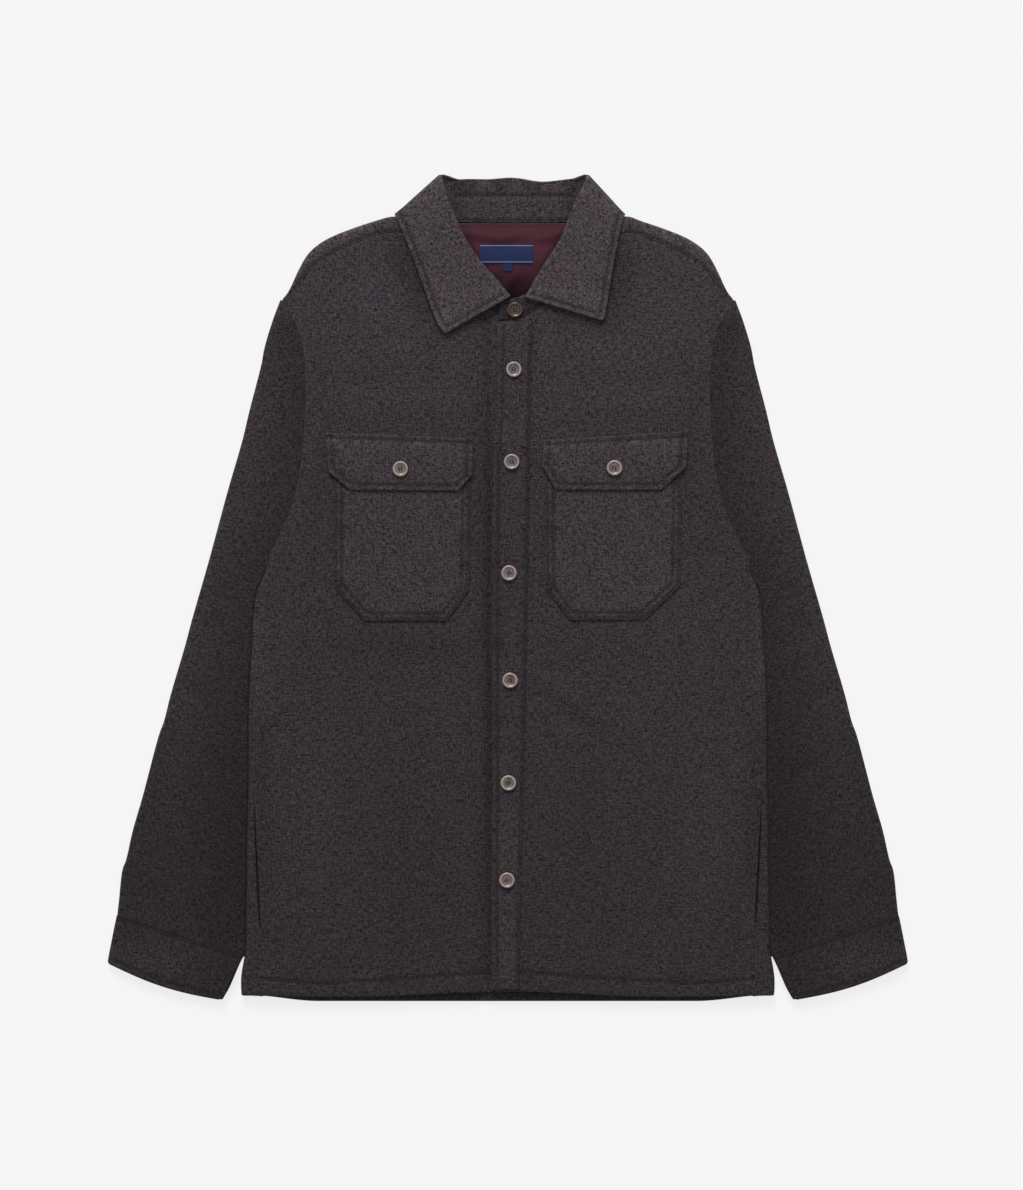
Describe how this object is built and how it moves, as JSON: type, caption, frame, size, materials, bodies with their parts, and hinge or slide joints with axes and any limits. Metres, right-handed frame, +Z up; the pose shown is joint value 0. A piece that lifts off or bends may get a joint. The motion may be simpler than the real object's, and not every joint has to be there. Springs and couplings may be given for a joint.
{
  "type": "shirt jacket",
  "caption": "Button-front wool shirt jacket with turn-down collar, flapped chest pockets and long cuffed sleeves, laid flat front up.",
  "frame": {"origin": "on the surface the jacket lies on, at the middle of its outline", "axes": "+Y towards the neck, +X towards the wearer's left, +Z up from the surface; the front faces +Z"},
  "size_m": [0.7986, 0.8257, 0.0165],
  "materials": {
    "brushed_wool": "brushed, matte",
    "satin_lining": "satin weave, soft sheen",
    "woven_label": "woven tape",
    "woven_tab": "woven tape",
    "horn_button": "polished horn look"
  },
  "bodies": {
    "root": {"back": "brushed_wool", "yoke": "brushed_wool", "front_right": "brushed_wool", "front_left": "brushed_wool", "sleeve_right": "brushed_wool", "sleeve_left": "brushed_wool", "cuff_right": "brushed_wool", "cuff_left": "brushed_wool", "pocket_right": "brushed_wool", "pocket_left": "brushed_wool", "flap_right": "brushed_wool", "flap_left": "brushed_wool", "placket": "brushed_wool", "collar_stand": "brushed_wool", "collar_fall": "brushed_wool", "neck_lining": "satin_lining", "neck_label": "woven_label", "size_tab": "woven_tab", "button_1": "horn_button", "button_2": "horn_button", "button_3": "horn_button", "button_4": "horn_button", "button_5": "horn_button", "button_6": "horn_button", "button_7": "horn_button", "flap_right_button": "horn_button", "flap_left_button": "horn_button"}
  },
  "joints": []
}
